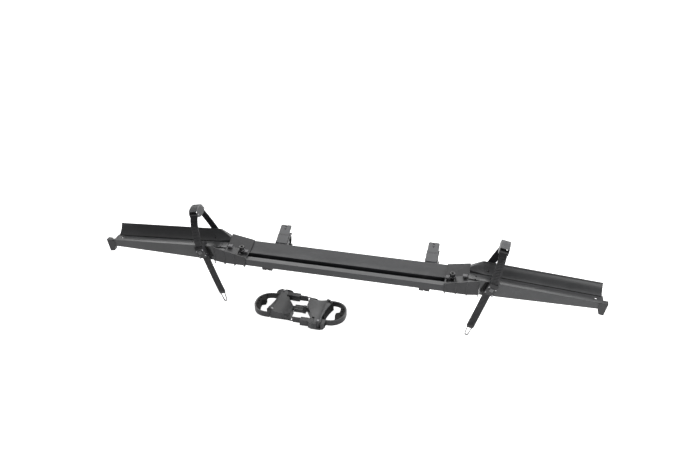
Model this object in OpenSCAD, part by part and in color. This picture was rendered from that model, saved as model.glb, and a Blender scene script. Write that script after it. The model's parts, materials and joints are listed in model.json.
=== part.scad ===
// Add-on wheel tray for a platform bike rack: a centre channel with a sloping tray at each end, two
// arms that
// clamp on a round tube of the rack, a strap loop on each tray, and a loose coupler that joins two
// bike frames.
// The design frame has X along the tray, Y back towards the rack and Z up. Modules are drawn in tray
// coordinates, with Y = 0 on the front skirt and Z = 0 on the skirt's lower edge, and place() moves
// them so
// that the origin lies on the axis of the rack's tube, midway between the clamps.

/* [Lengths along the tray] */
// Half the length of channel that shows between the junction sleeves
centre_half = 258; // [200:2:320]
// Length of each junction sleeve on the channel
sleeve_len = 58; // [50:1:76]
// Length of each end tray, from its sleeve to its foot
tray_len = 322; // [240:2:400]
// Length of each end foot
foot_len = 23; // [16:1:30]

/* [Channel section] */
// Width of the hollow front rail
rail_w = 16; // [13:0.5:22]
// Height of the rail above the skirt line
rail_top = 14; // [11:0.5:18]
// Depth of the channel below the skirt line
rail_drop = 4; // [2:0.5:6]
// Width of the groove behind the rail
groove_w = 18; // [15:0.5:22]
// Distance from the front face to the rear edge
channel_depth = 79; // [74:1:92]
// Height of the rear edge above the skirt line
rear_top = 24; // [20:0.5:30]
// Wall thickness of the extrusion
channel_wall = 2.5; // [2:0.1:3]

/* [Tray section] */
// Height of the lip above the skirt line, at the sleeve
lip_height = 42; // [36:0.5:50]
// Fall of the tray from the sleeve to the foot, in degrees
tray_fall = 4; // [2:0.25:4.5]
// Width of the lip
lip_w = 8; // [6:0.5:11]
// Depth of the floor below the lip
floor_drop = 12; // [9:0.5:14]
// Radius of the concave rear wall
wall_r = 39.2; // [34:0.2:44]
// Skin thickness of the moulded tray
skin = 3; // [2.4:0.1:3.6]

/* [Clamp] */
// Diameter of the rack tube that the clamps hold
tube_d = 30; // [26:0.5:34]
// Distance from the front skirt back to the rack tube
tube_y = 178; // [165:1:210]
// Height of the rack tube's axis relative to the skirt line
tube_z = -30; // [-36:1:-26]
// Distance from the middle of the tray to the middle of each arm
arm_x = 207.5; // [150:0.5:235]
// Width of each arm
arm_w = 27; // [22:0.5:34]
// Thickness of the rubber liners
liner_t = 2; // [1.5:0.1:3]

/* [Wheel strap] */
// Distance from the sleeve's outer end to the strap
strap_offset = 56; // [50:1:80]
// Width of the ladder strap
strap_w = 19; // [15:0.5:24]
// Thickness of the ladder strap without its teeth
strap_t = 2.4; // [1.8:0.1:3]
// Height of the teeth
tooth_h = 1.1; // [0.8:0.1:1.4]
// Distance from tooth to tooth
tooth_pitch = 4; // [3:0.25:5]
// Outward lean of the loop over the tray, in degrees
loop_lean = 11.5; // [6:0.5:16]
// Outward lean of the hanging tail, in degrees
tail_lean = 17; // [12:0.5:20]

/* [Frame coupler] */
// Overall length of the coupler
coupler_len = 247; // [220:2:290]
// Outer width of its strap loops
loop_w = 88; // [74:1:100]
// Height of its strap band
band_h = 15; // [12:0.5:17]
// Thickness of its strap band
band_t = 4; // [3:0.25:5]
// Height of its heads
head_h = 25; // [22:0.5:30]

/* [Hidden] */

// Running clearance between pieces that move on each other
slack = 0.3;
// Radial clearance of a pin in its hole
pin_slack = 0.05;
// Facets of a circle
fine = 96;
$fn = fine;

// Stations along the tray
sleeve_out = centre_half + sleeve_len;
tray_out = sleeve_out + tray_len;
foot_out = tray_out + 12;
strap_x = sleeve_out + strap_offset;
// How far the sleeve's apron and tongue reach under the tray
tongue_len = 29;
apron_out = sleeve_out + tongue_len;

// Screws that hold the tray on the tongue
tray_screw_y = [19, 33];

// Tray section, measured from the lip
fall = tan(tray_fall);
floor_start = lip_w + 7.5;
groove_y0 = 44;
groove_y1 = groove_y0 + 4;
wall_foot = [groove_y1, -floor_drop];
wall_a0 = 28.6;
wall_a1 = 74.6;
wall_c = wall_foot + wall_r * [-sin(wall_a0), cos(wall_a0)];
wall_tip = wall_c + wall_r * [sin(wall_a1), -cos(wall_a1)];
skirt_rise = 4;

// Clamp, measured from the tube's axis
tube_r = tube_d / 2;
saddle_r = tube_r + liner_t;
jaw_r = saddle_r + 5.4;
saddle_outer = saddle_r + 7;
cheek_t = 3;
cheek_r = jaw_r + 3.6;
lever_t = 3.5;
lever_rise = 23.7;
lever_n = jaw_r + slack;
lever_pin = [-(tube_r + 15), 6];
jaw_pin = [-(tube_r + 3), 10];
clamp_pin_r = 2.5;
arm_drop = 4;

// Strap stations, measured along the leaning strap from its pivot on the skirt
pivot_z = 15;
lock_w = strap_w + 5;
lock_lean = 25;
buckle_w = strap_w + 4;

function lip_z(x) = lip_height - (x - apron_out) * fall;
function unit(v) = v / norm(v);
function arc(c, r, a0, a1, n = 12) = [for (i = [0:n]) c + r * [cos(a0 + (a1 - a0) * i / n), sin(a0
    + (a1 - a0) * i / n)]];
// A smooth curve through the points p, with n steps between each two
function blend4(a, b, c, d, t) = 0.5 * ((2 * b) + (c - a) * t + (2 * a - 5 * b + 4 * c - d) * t * t
    + (3 * b - a - 3 * c + d) * t * t * t);
function smooth(p, n = 4) = let (m = len(p) - 1) concat([for (i = [0:m - 1], k = [0:n - 1])
    blend4(p[max(i - 1, 0)], p[i], p[i + 1], p[min(i + 2, m)], k / n)], [p[m]]);
// The unit normal to the left of a path at its point i
function side_dir(p, i) = let (t = unit(p[min(i + 1, len(p) - 1)] - p[max(i - 1, 0)])) [-t[1], t[0]];
function shifted(p, d) = [for (i = [0:len(p) - 1]) p[i] + d * side_dir(p, i)];
function reversed(p) = [for (i = [len(p) - 1:-1:0]) p[i]];
// The outline of a band that follows a path, from offset a to offset b
function band(p, a, b) = concat(shifted(p, a), reversed(shifted(p, b)));
// A polygon with each corner rounded to radius r
function corner(a, b, c, r) = let (u = unit(a - b), v = unit(c - b), h = acos(max(-1, min(1, u * v))) / 2,
    m = b + unit(u + v) * r / sin(h), s = b + u * r / tan(h), e = b + v * r / tan(h),
    a0 = atan2(s[1] - m[1], s[0] - m[0]), a1 = atan2(e[1] - m[1], e[0] - m[0]),
    d = a1 - a0 > 180 ? a1 - a0 - 360 : a1 - a0 < -180 ? a1 - a0 + 360 : a1 - a0)
    [for (i = [0:6]) m + r * [cos(a0 + d * i / 6), sin(a0 + d * i / 6)]];
function rounded(p, r) = [for (i = [0:len(p) - 1]) each corner(p[(i + len(p) - 1) % len(p)], p[i],
    p[(i + 1) % len(p)], r)];

// Tray coordinates to the design frame
module place() { translate([0, -tube_y, -tube_z]) children(); }
module left_side() { mirror([1, 0, 0]) children(); }
module both_sides() { children(); left_side() children(); }
// An outline in Y and Z, drawn out along X
module along_x(x0, x1) { translate([x0, 0, 0]) rotate([90, 0, 90]) linear_extrude(x1 - x0) children(); }
// An outline in X and Z, drawn out along Y
module along_y(y0, y1) { translate([0, y1, 0]) rotate([90, 0, 0]) linear_extrude(y1 - y0) children(); }
// An outline in X and Y, drawn up along Z
module along_z(z0, z1) { translate([0, 0, z0]) linear_extrude(z1 - z0) children(); }
module rod_x(x0, x1, r) { translate([x0, 0, 0]) rotate([0, 90, 0]) cylinder(h = x1 - x0, r = r); }
module hex_head(r, h) { cylinder(h = h, r = r, $fn = 6); }

// ---- channel
// -------------------------------------------------------------------------------------------
module channel_outline() {
    w = channel_wall;
    g1 = rail_w + groove_w;
    difference() {
        polygon([[0, -rail_drop], [0, rail_top], [rail_w, rail_top], [rail_w, w - rail_drop],
            [g1, w - rail_drop], [g1, rail_top], [channel_depth, rear_top], [channel_depth, rear_top - w],
            [channel_depth - 17, -rail_drop]]);
        polygon([[w, w - rail_drop], [w, rail_top - w], [rail_w - w, rail_top - w], [rail_w - w, w
            - rail_drop]]);
        polygon([[g1 + w, w - rail_drop], [g1 + w, rail_top - 2 * w], [channel_depth - 9, rear_top - 3
            * w],
            [channel_depth - 19, w - rail_drop]]);
        // The rear plate is slightly hollowed
        translate([(g1 + channel_depth) / 2, (rail_top + rear_top) / 2] + 150.6 * [-sin(12.5), cos(12.5)])
            circle(r = 152, $fn = 360);
    }
}
module centre_channel() {
    color("#2b2c2e") place() difference() {
        along_x(-sleeve_out, sleeve_out) channel_outline();
        for (s = [-1, 1], y = arm_bolt_y()) translate([s * arm_x, y, -rail_drop - 1]) cylinder(h = 5,
            r = 4.3);
    }
}
function arm_bolt_y() = [rail_w + groove_w - 7, channel_depth - 28];

// ---- junction sleeve
// -----------------------------------------------------------------------------------
apron_t = 2.5;
apron_in_z = rail_top + 7;
deck_in = rail_top + 1.5;
deck_out = lip_height - 12;
plate_out = lip_height + 1;
module sleeve_section(x, pts) { translate([x, 0, 0]) rotate([90, 0, 90]) linear_extrude(0.2)
    polygon(pts); }
module right_junction_sleeve() {
    g1 = rail_w + groove_w;
    x0 = centre_half;
    x1 = sleeve_out - 0.2;
    z0 = rail_top + slack / 10;
    color("#1d1e20") place() difference() {
        union() {
            along_y(-apron_t, 0) polygon([[x0, -rail_drop], [x0, apron_in_z], [apron_out, lip_height
                - 1.5],
                [apron_out, 0], [sleeve_out, -rail_drop]]);
            // Sloping deck over the rail and the groove
            along_y(0, g1) polygon([[x0, z0], [x0, deck_in], [sleeve_out, deck_out], [sleeve_out, z0]]);
            // Rear plate, which rises from the channel's edge to the tray's wall
            hull() {
                sleeve_section(x0, [[g1, z0], [g1, deck_in], [channel_depth, rear_top + 2.6],
                    [channel_depth, rear_top + 0.1]]);
                sleeve_section(x1, [[g1, z0], [g1, deck_out], [channel_depth - 10, plate_out],
                    [channel_depth - 4, plate_out - 3], [channel_depth, rear_top + 0.1]]);
            }
            // Tongue under the end of the tray
            along_x(sleeve_out - 4, apron_out) polygon([[skin + slack, z0], [skin + slack, 22.5], [g1,
                22.5], [g1, z0]]);
            along_x(sleeve_out + slack, apron_out) polygon([[g1 - 1, z0], [g1 - 1, 22.5], [groove_y0
                - 1, 22.5],
                [groove_y0 - 1, z0]]);
            // Ribs that wrap under the channel
            for (x = [x0 + 4, x0 + 30, sleeve_out - 1]) sleeve_rib(x, channel_depth - 20);
            sleeve_rib(apron_out - 3, -0.2);
        }
        // Notch for the clamp bolt, and holes for the bolts
        translate([notch_x() - 8, 12, deck_in + 2]) cube([16, g1 - 12.4, 40]);
        translate([notch_x(), bolt_y(), -10]) cylinder(h = 60, r = 3.2);
        for (x = bolt_x()) translate([x, bolt_y(), -10]) cylinder(h = 80, r = 3.2);
        for (y = tray_screw_y) translate([apron_out - 12, y, 0]) cylinder(h = 60, r = 2.2);
    }
}
function notch_x() = centre_half + 18;
function bolt_x() = [centre_half + 7, sleeve_out - 9];
function bolt_y() = rail_w + groove_w / 2 + 1;
function deck_z(x) = deck_in + (x - centre_half) / sleeve_len * (deck_out - deck_in);
module sleeve_rib(x, depth) {
    top = apron_in_z + (x - centre_half) / (apron_out - centre_half) * (lip_height - 1.5 - apron_in_z)
        - 1;
    along_x(x - 1.25, x + 1.25) polygon([[-apron_t - 1.2, -rail_drop - 4], [-apron_t - 1.2, top],
        [-apron_t, top],
        [-apron_t, -rail_drop - slack / 10], [max(depth, -0.2), -rail_drop - slack / 10],
        [max(depth, -0.2), -rail_drop - 4]]);
}
module left_junction_sleeve() { left_side() right_junction_sleeve(); }

// Square-headed bolts, which fix each sleeve to the channel through the groove
module junction_bolts() {
    color("#8d8f91") place() both_sides() for (x = bolt_x()) translate([x, bolt_y(), 0]) {
        translate([-5.5, -5.5, deck_z(x) + 1.9]) cube([11, 11, 5]);
        translate([0, 0, channel_wall - rail_drop + 0.02]) cylinder(h = deck_z(x) + 2, r = 3);
    }
}
// Socket-headed bolts, which stand on a washer in the notch of each sleeve
module sleeve_clamp_bolts() {
    color("#1a1a1b") place() both_sides() translate([notch_x(), bolt_y(), 0]) difference() {
        union() {
            translate([0, 0, channel_wall - rail_drop + 0.02]) cylinder(h = deck_in + 16, r = 3);
            translate([0, 0, deck_in + 2]) cylinder(h = 8, r = 5);
            translate([0, 0, deck_in + 10]) cylinder(h = 10, r = 7.2);
        }
        translate([0, 0, deck_in + 16]) hex_head(3.6, 6);
    }
}
module tray_screws() {
    color("#3a3b3d") place() both_sides() for (y = tray_screw_y) translate([apron_out - 12, y, 12]) {
        cylinder(h = 10, r = 2);
    }
}

// ---- end tray
// ------------------------------------------------------------------------------------------
module tray_outline() {
    t = skin;
    polygon([[0, -t], [0, 0], [lip_w, 0], [lip_w, -4], [lip_w + 4, -4], [floor_start, -floor_drop],
        [groove_y0, -floor_drop], [groove_y0 + 0.6, -floor_drop - 2.6], [groove_y1 - 0.6, -floor_drop
            - 2.6],
        wall_foot, wall_foot + [4, -1], [groove_y1 + 2, -floor_drop - t - 2.6],
        [groove_y0 - 2, -floor_drop - t - 2.6], [groove_y0 - 3, -floor_drop - t], [floor_start - 1.6,
            -floor_drop - t],
        [lip_w + 2.4, -4 - t], [lip_w - 1, -4 - t], [lip_w - 2, -t]]);
    intersection() {
        translate(wall_c) difference() { circle(r = wall_r + t, $fn = 180); circle(r = wall_r,
            $fn = 180); }
        polygon([wall_c, wall_c + 80 * [sin(wall_a0), -cos(wall_a0)], wall_c + 110 * [sin(50), -cos(50)],
            wall_c + 80 * [sin(wall_a1), -cos(wall_a1)]]);
    }
    translate(wall_tip + [1.3, -0.4]) circle(r = 2);
}
module sloped() { translate([apron_out, 0, lip_height]) rotate([0, tray_fall, 0]) children(); }
module right_wheel_tray() {
    x0 = sleeve_out + slack;
    color("#333436") place() difference() {
        union() {
            intersection() {
                sloped() along_x(-60, tray_len + 40) tray_outline();
                translate([x0, -1, -40]) cube([tray_out - x0, 90, 130]);
                along_z(-40, 130) polygon([[x0, floor_start - 1], [apron_out, floor_start - 1],
                    [apron_out, -2],
                    [tray_out, -2], [tray_out, 90], [x0, 90]]);
            }
            // Open floor over the sleeve's tongue, and the end wall under the lip
            intersection() {
                sloped() translate([-40, slack, -floor_drop - skin]) cube([42, floor_start, skin]);
                translate([x0, 0, 0]) cube([60, 60, 60]);
            }
            sloped() along_x(0, 2.2) polygon([[skin - 0.5, -2], [lip_w - 1, -2], [lip_w + 3, -5],
                [floor_start,
                -floor_drop - 1], [skin - 0.5, -floor_drop - 1]]);
            // Front skirt
            along_y(0, skin) polygon([[apron_out + slack, 0], [apron_out + slack, lip_z(apron_out
                + slack) - 1],
                [tray_out, lip_z(tray_out) - 1], [tray_out, skirt_rise]]);
            // Scoop that closes the trough towards the sleeve
            intersection() {
                difference() {
                    translate([x0, groove_y1, lip_height - floor_drop - 4]) cube([36, wall_tip[0]
                        - groove_y1 + 1, 34]);
                    translate([x0 + 36, wall_c[0], lip_height + wall_c[1]]) rotate([0, tray_fall, 13])
                        rod_x(-90, 60, wall_r);
                }
                sloped() along_x(-60, 60) polygon(concat(arc(wall_c, wall_r + skin - 0.5, wall_a0 - 90,
                    wall_a1 - 90, 20), [wall_c]));
            }
            // Cross ribs under the floor
            for (x = [apron_out + 25:48:tray_out - 20]) along_x(x - 1.2, x + 1.2) polygon([[skin - 0.5,
                6],
                [skin - 0.5, lip_z(x) - floor_drop - 2], [groove_y0, lip_z(x) - floor_drop - 2],
                    [groove_y0, lip_z(x)
                - floor_drop - 9], [24, 6]]);
            // Boss behind the wall for the strap's anchor
            difference() {
                translate([anchor_x() - 10, wall_tip[0] - 10, anchor_z() - 7])
                    cube([20, anchor_y() - wall_tip[0] + 10, 14]);
                sloped() along_x(-60, tray_len) translate(wall_c) circle(r = wall_r + skin / 2,
                    $fn = 180);
            }
        }
        // The wall comes down in a ramp to the sleeve's plate
        along_y(-10, 120) polygon([[x0 - 50, plate_out - 16 * 1.5 + 8], [x0, plate_out], [apron_out
            + 6, lip_height
            + wall_tip[1] + 2.2], [apron_out + 6, 150], [x0 - 50, 150]]);
        translate([tray_out - 15, 35, -20]) cylinder(h = 120, r = 3.5);
        for (y = tray_screw_y) translate([apron_out - 12, y, -10]) cylinder(h = 60, r = 2.2);
        translate([anchor_x(), anchor_y() + 1, anchor_z()]) rotate([90, 0, 0]) cylinder(h = 30, r = 2.1);
    }
}
module left_wheel_tray() { left_side() right_wheel_tray(); }
function anchor_y() = wall_tip[0] + skin + 1.4;

module right_end_foot() {
    z = lip_z(tray_out);
    x0 = foot_out - foot_len;
    color("#2a2b2d") place() {
        along_y(-1.2, -0.02) polygon([[x0, 2], [x0, z - 1.5], [tray_out, z], [foot_out, z], [foot_out
            - 7, -13],
            [x0 + 4, -11]]);
        along_y(-1.2, 12) polygon([[tray_out + 0.05, 0], [tray_out + 0.05, z + 0.3], [foot_out, z],
            [foot_out - 7, -13],
            [x0 + 4, -11], [x0 + 1, -0.5]]);
        along_x(tray_out + 0.05, tray_out + 3) translate([0, z]) polygon([[12, -3], [12, -4],
            [floor_start, -floor_drop],
            [groove_y0, -floor_drop], [groove_y1 + 4, -floor_drop - 2], [groove_y1, -floor_drop - 7],
                [10, -24], [10, -3]]);
    }
}
module left_end_foot() { left_side() right_end_foot(); }

// ---- mount arm and clamp
// -------------------------------------------------------------------------------
module at_tube() { translate([0, tube_y, tube_z]) children(); }
module cheek_outline() {
    difference() {
        union() {
            circle(r = cheek_r);
            polygon([[0, cheek_r], lever_pin + [-1, 9], lever_pin + [-8.8, 0], lever_pin + [-6, -16],
                [0, -cheek_r]]);
            translate(lever_pin) circle(r = 9);
        }
        circle(r = saddle_r);
        // Mouth, open to the rear
        polygon([[0, -tube_r - 0.4], [0, tube_r + 0.4], [60, tube_r + 4], [60, -tube_r - 4]]);
    }
}
module right_mount_arm() {
    w = arm_w / 2;
    top = -rail_drop;
    color("#232426") place() difference() {
        union() {
            along_x(arm_x - w, arm_x + w) difference() {
                union() {
                    polygon([[17, top], [channel_depth - 18, top], [channel_depth + 4, top - 8],
                        [tube_y - 46, tube_z - arm_drop],
                        [tube_y - 20, tube_z - arm_drop], [tube_y - 10, tube_z - saddle_outer + 2],
                        [tube_y - 40, tube_z - saddle_outer + 4], [channel_depth - 6, top - 23], [20,
                            top - 21]]);
                    translate([tube_y, tube_z]) circle(r = saddle_outer);
                }
                translate([tube_y, tube_z]) circle(r = saddle_r);
                translate([tube_y, tube_z]) polygon([[0, 0], 60 * [-cos(14), sin(14)], [-40, 60], [60,
                    60],
                    60 * [cos(58), -sin(58)]]);
            }
            for (s = [-1, 1]) along_x(arm_x + s * (w + cheek_t / 2) - cheek_t / 2, arm_x + s * (w
                + cheek_t / 2) + cheek_t / 2)
                translate([tube_y, tube_z]) cheek_outline();
        }
        for (p = [lever_pin, jaw_pin]) at_tube() translate([0, p[0], p[1]]) rod_x(arm_x - w - 5, arm_x
            + w + 5,
            clamp_pin_r + pin_slack);
        for (y = arm_bolt_y()) translate([arm_x, y, top - 40]) {
            cylinder(h = 60, r = 4.2);
            cylinder(h = 26.5, r = 7.3);
        }
        // Lightening pockets in the sides
        for (s = [-1, 1]) along_x(arm_x + s * (w + 1) - 4, arm_x + s * (w + 1) + 4)
            polygon(rounded([[channel_depth - 14,
            top - 7], [channel_depth, top - 12], [tube_y - 54, tube_z - 9], [tube_y - 54, tube_z - 15],
            [channel_depth - 6, top - 18]], 2));
    }
}
module left_mount_arm() { left_side() right_mount_arm(); }

// A ring round the tube from angle a0 to angle a1, measured from the rear towards the top
module ring_part(r0, r1, a0, a1) {
    polygon(concat(arc([0, 0], r1, a0, a1, 36), arc([0, 0], r0, a1, a0, 36)));
}
module tube_ring(r0, r1, w, cut) {
    along_x(arm_x - w / 2, arm_x + w / 2) translate([tube_y, tube_z]) difference() {
        circle(r = r1);
        circle(r = r0);
        polygon(cut);
    }
}
module right_saddle_liner() {
    color("#111112") place() tube_ring(tube_r, saddle_r - 0.05, arm_w + 2 * cheek_t,
        [[0, 0], 60 * [-cos(14), sin(14)], [-40, 60], [60, 60], 60 * [cos(58), -sin(58)]]);
}
module left_saddle_liner() { left_side() right_saddle_liner(); }

jaw_w = arm_w - 2 * slack;
jaw_cut = [[0, 0], 60 * [-cos(38), sin(38)], [-90, 0], [-90, -90], [20, -90], 60 * [cos(53), -sin(53)]];
module right_clamp_jaw() {
    color("#1c1d1f") place() difference() {
        union() {
            tube_ring(saddle_r, jaw_r, jaw_w, jaw_cut);
            along_x(arm_x - jaw_w / 2, arm_x + jaw_w / 2) translate([tube_y, tube_z]) difference() {
                union() {
                    translate(jaw_pin) circle(r = 4.6);
                    polygon([jaw_pin + [-2, 4], jaw_pin + [2, -3], saddle_r * [-cos(40), sin(40)] + [1,
                        1],
                        jaw_r * [-cos(42), sin(42)] + [3, 2]]);
                }
                circle(r = saddle_r);
            }
        }
        at_tube() translate([0, jaw_pin[0], jaw_pin[1]]) rod_x(arm_x - 40, arm_x + 40, clamp_pin_r
            + pin_slack);
    }
}
module left_clamp_jaw() { left_side() right_clamp_jaw(); }
module right_jaw_liner() {
    color("#111112") place() tube_ring(tube_r, saddle_r - 0.02, jaw_w, jaw_cut);
}
module left_jaw_liner() { left_side() right_jaw_liner(); }

// Outline of the lever from the side, along and square to its sloping top
lever_len = 62;
module lever_side() {
    n = lever_n;
    root = [lever_pin[0] * cos(lever_rise) + lever_pin[1] * sin(lever_rise),
        -lever_pin[0] * sin(lever_rise) + lever_pin[1] * cos(lever_rise)];
    union() {
        translate(root) circle(r = 6.3);
        polygon([[root[0] - 3, n - 3], [root[0] - 2, n + lever_t - 1], [root[0] + 1, n + lever_t],
            [root[0] + lever_len - 3, n + lever_t], [root[0] + lever_len, n + lever_t + 1.5],
            [root[0] + lever_len + 1, n - 3], [root[0] + lever_len - 4, n - 2], [root[0] + lever_len
                - 8, n],
            [root[0] + 9, n], [root[0] + 4, root[1] - 2]]);
    }
}
module right_clamp_lever() {
    w = arm_w / 2 - slack;
    color("#8a8c8e") place() difference() {
        translate([0, tube_y, tube_z]) rotate([lever_rise, 0, 0]) along_x(arm_x - w, arm_x + w)
            lever_side();
        at_tube() translate([0, lever_pin[0], lever_pin[1]]) rod_x(arm_x - 40, arm_x + 40, clamp_pin_r
            + pin_slack);
        // Finger notch in the free end
        at_tube() rotate([lever_rise, 0, 0]) translate([arm_x, 0, lever_n + lever_t - 2.2])
            linear_extrude(20)
            polygon([[-5, lever_pin[0] + lever_len + 9], [0, lever_pin[0] + lever_len - 3],
                [5, lever_pin[0] + lever_len + 9]]);
    }
}
module left_clamp_lever() { left_side() right_clamp_lever(); }
module right_clamp_pins() {
    w = arm_w / 2 + cheek_t + 0.8;
    color("#77797b") place() at_tube() for (p = [lever_pin, jaw_pin]) translate([0, p[0], p[1]]) {
        rod_x(arm_x - w, arm_x + w, clamp_pin_r);
    }
}
module left_clamp_pins() { left_side() right_clamp_pins(); }
module arm_bolts() {
    color("#505254") place() both_sides() for (y = arm_bolt_y()) translate([arm_x, y, -rail_drop
        - 13.5]) {
        cylinder(h = 13.5 + channel_wall + 3.6, r = 4);
        translate([0, 0, -5]) hex_head(6.8, 5);
    }
}
module arm_nut_plates() {
    color("#505254") place() both_sides() for (y = arm_bolt_y()) difference() {
        translate([arm_x - 11, y - 6, channel_wall - rail_drop]) cube([22, 12, 4]);
        translate([arm_x, y, -10]) cylinder(h = 20, r = 4.05);
    }
}

// ---- wheel strap
// ---------------------------------------------------------------------------------------
// The ladder strap's line from the side, in Y and Z, from the tail's end to the buckle
side_line = smooth([[1, -97], [-2, -60], [-4, -22], [-5, 4], [-5, 22], [-6, 34], [-9, 46], [-9.5, 58],
    [-7, 71],
    [-4, 85], [-1, 97], [5, 110], [12.5, 121]], 4);
// Its line from the front, in X and Z, from the station on the skirt
front_line = smooth([[-39.5, -98], [-29.8, -66], [-18.8, -30], [-8.4, 4], [-0.2, 22], [7.4, 38], [10.6,
    60],
    [14.3, 80], [18.6, 100], [20.6, 112], [22, 123], [23.5, 130]], 4);
// The anchor strap's lines from the side and from the front, from the buckle to the boss behind the wall
anchor_side = smooth([[49.5, 123], [55, 112], [61, 95], [67, 75], [71.5, 57], [73.2, 44], [73.2, 26]], 4);
anchor_front = smooth([[24.5, 136], [22.3, 124], [19.3, 110], [11, 90], [1.5, 68], [-7.5, 47], [-11.5,
    34],
    [-13.5, 24]], 4);
// The loop's buckle, from the side, measured along its lean
buckle_front = [13.5, 110];
buckle_rear = [49, 109];
lever_axis = [45, 116.5];

// The lock's frame, on its own lean between the two straight runs
module locking() { translate([strap_x - 2.4, 0, pivot_z + 2]) rotate([0, lock_lean, 0]) children(); }
module leaning(a) { translate([strap_x, 0, pivot_z]) rotate([0, a, 0]) children(); }
// A strap of width w that follows one line seen from the side and another seen from the front
module strap_band(side, front, w, a, b) {
    intersection() {
        along_x(strap_x - 90, strap_x + 90) polygon(band(side, a, b));
        along_y(-40, 120) translate([strap_x, 0]) polygon(band(front, -w / 2, w / 2));
    }
}
function line_len(p, i = 0, s = 0) = i >= len(p) - 1 ? s : line_len(p, i + 1, s + norm(p[i + 1] - p[i]));
function point_at(p, d, i = 0) = let (l = norm(p[i + 1] - p[i])) d <= l || i >= len(p) - 2
    ? [p[i] + (p[i + 1] - p[i]) * d / l, atan2(p[i + 1][1] - p[i][1], p[i + 1][0] - p[i][0])]
    : point_at(p, d - l, i + 1);
// Teeth on the outer face of the ladder strap
module teeth(side, front, w, from, to) {
    h = strap_t / 2;
    q = tooth_pitch;
    intersection() {
        along_x(strap_x - 90, strap_x + 90) for (d = [from:q:line_len(side) - to])
            let (at = point_at(side, d))
            translate(at[0]) rotate(at[1]) polygon([[-q * 0.35, h - 0.2], [-q * 0.2, h + tooth_h],
                [q * 0.2, h + tooth_h], [q * 0.35, h - 0.2]]);
        along_y(-40, 120) translate([strap_x, 0]) polygon(band(front, -w / 2, w / 2));
    }
}
// Pull loop at the end of the tail
module pull_loop() {
    w = strap_w / 2;
    translate([strap_x - 39.5, side_line[0][0] + strap_t / 2, -98]) rotate([90, tail_lean, 0])
        linear_extrude(strap_t) difference() {
        polygon(concat([[w, 3], [w, -1], [w - 3.5, -10]], arc([0, -27], 5, -12, -168, 12), [[3.5 - w,
            -10], [-w, -1], [-w, 3]]));
        polygon(concat([[w - 4.6, -7]], arc([0, -27], 3.2, -10, -170, 10), [[4.6 - w, -7]]));
    }
}
module right_ladder_strap() {
    color("#1b1c1d") place() {
        difference() {
            union() {
                strap_band(side_line, front_line, strap_w, -strap_t / 2, strap_t / 2);
                teeth(side_line, front_line, strap_w - 4, 2, 10);
                leaning(loop_lean) translate([0, buckle_front[0], buckle_front[1]]) rod_x(-strap_w / 2,
                    strap_w / 2, 4);
                pull_loop();
            }
            leaning(loop_lean) translate([0, buckle_front[0], buckle_front[1]]) rod_x(-30, 30, 1.5
                + pin_slack);
        }
    }
}
module left_ladder_strap() { left_side() right_ladder_strap(); }
module right_anchor_strap() {
    color("#101011") place() difference() {
        union() {
            strap_band(anchor_side, anchor_front, strap_w, -strap_t / 2, strap_t / 2);
            leaning(loop_lean) {
                translate([0, buckle_rear[0], buckle_rear[1]]) rod_x(-strap_w / 2, strap_w / 2, 4);
                hull_free_neck();
            }
        }
        leaning(loop_lean) translate([0, buckle_rear[0], buckle_rear[1]]) rod_x(-30, 30, 1.5 + pin_slack);
        translate([anchor_x(), 90, anchor_z()]) rotate([90, 0, 0]) cylinder(h = 40, r = 2.3);
    }
}
module hull_free_neck() {
    along_x(-strap_w / 2, strap_w / 2) polygon([buckle_rear + [2, 2], [53.4, 107], [50.6, 104.5],
        buckle_rear + [-1, -3]]);
}
function anchor_z() = lip_z(strap_x) - 6;
function anchor_x() = strap_x - 11.5;
module left_anchor_strap() { left_side() right_anchor_strap(); }
module anchor_screws() {
    color("#6f7173") place() both_sides() translate([anchor_x(), anchor_y() + 4.7, anchor_z()]) {
        rotate([90, 0, 0]) cylinder(h = 16, r = 2);
        rotate([90, 0, 0]) cylinder(h = 1.6, r = 4.8);
    }
}

module buckle_plate() {
    polygon(concat([[8.7, 104.5], [8.5, 112]], arc([31, 84.5], 38.2, 122, 71, 10), arc(lever_axis, 3.7,
        84, -6, 8),
        [[53, 110.5], [53.6, 106], [40, 99], [20, 99]]));
}
module right_buckle_frame() {
    w = strap_w / 2 + 0.7;
    color("#161718") place() leaning(loop_lean) difference() {
        union() {
            for (s = [-1, 1]) along_x(s * (w + 0.8) - 0.8, s * (w + 0.8) + 0.8) buckle_plate();
            along_x(-w - 0.5, w + 0.5) polygon([[20, 99], [20, 100.8], [40, 100.8], [40, 99]]);
        }
        for (p = [buckle_front, buckle_rear, lever_axis]) translate([0, p[0], p[1]]) rod_x(-30, 30, 1.5
            + 0.01);
    }
}
module left_buckle_frame() { left_side() right_buckle_frame(); }
// Three cross pins: strap end, anchor end and the lever's axle
module right_buckle_pins() {
    color("#77797b") place() leaning(loop_lean) for (p = [buckle_front, buckle_rear, lever_axis])
        translate([0, p[0], p[1]]) rod_x(-buckle_w / 2 - 0.4, buckle_w / 2 + 0.4, 1.5);
}
module left_buckle_pins() { left_side() right_buckle_pins(); }
module right_buckle_lever() {
    w = strap_w / 2 - 0.2;
    color("#8a8c8e") place() leaning(loop_lean) difference() {
        union() {
            // Arched cap over the whole buckle
            along_x(-buckle_w / 2, buckle_w / 2) polygon(concat(arc([31, 84.5], 41.4, 68, 118, 16),
                arc([31, 84.5], 38.8, 118, 68, 16)));
            // Lugs round the axle and the nose that draws the strap
            along_x(-w, w) union() {
                translate(lever_axis) circle(r = 3.4);
                polygon([lever_axis + [-3, 0], lever_axis + [3, 0.5], lever_axis + [1.2, 6], lever_axis
                    + [-5, 7]]);
            }
        }
        translate([0, lever_axis[0], lever_axis[1]]) rod_x(-30, 30, 1.5 + pin_slack);
    }
}
module left_buckle_lever() { left_side() right_buckle_lever(); }

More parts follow.
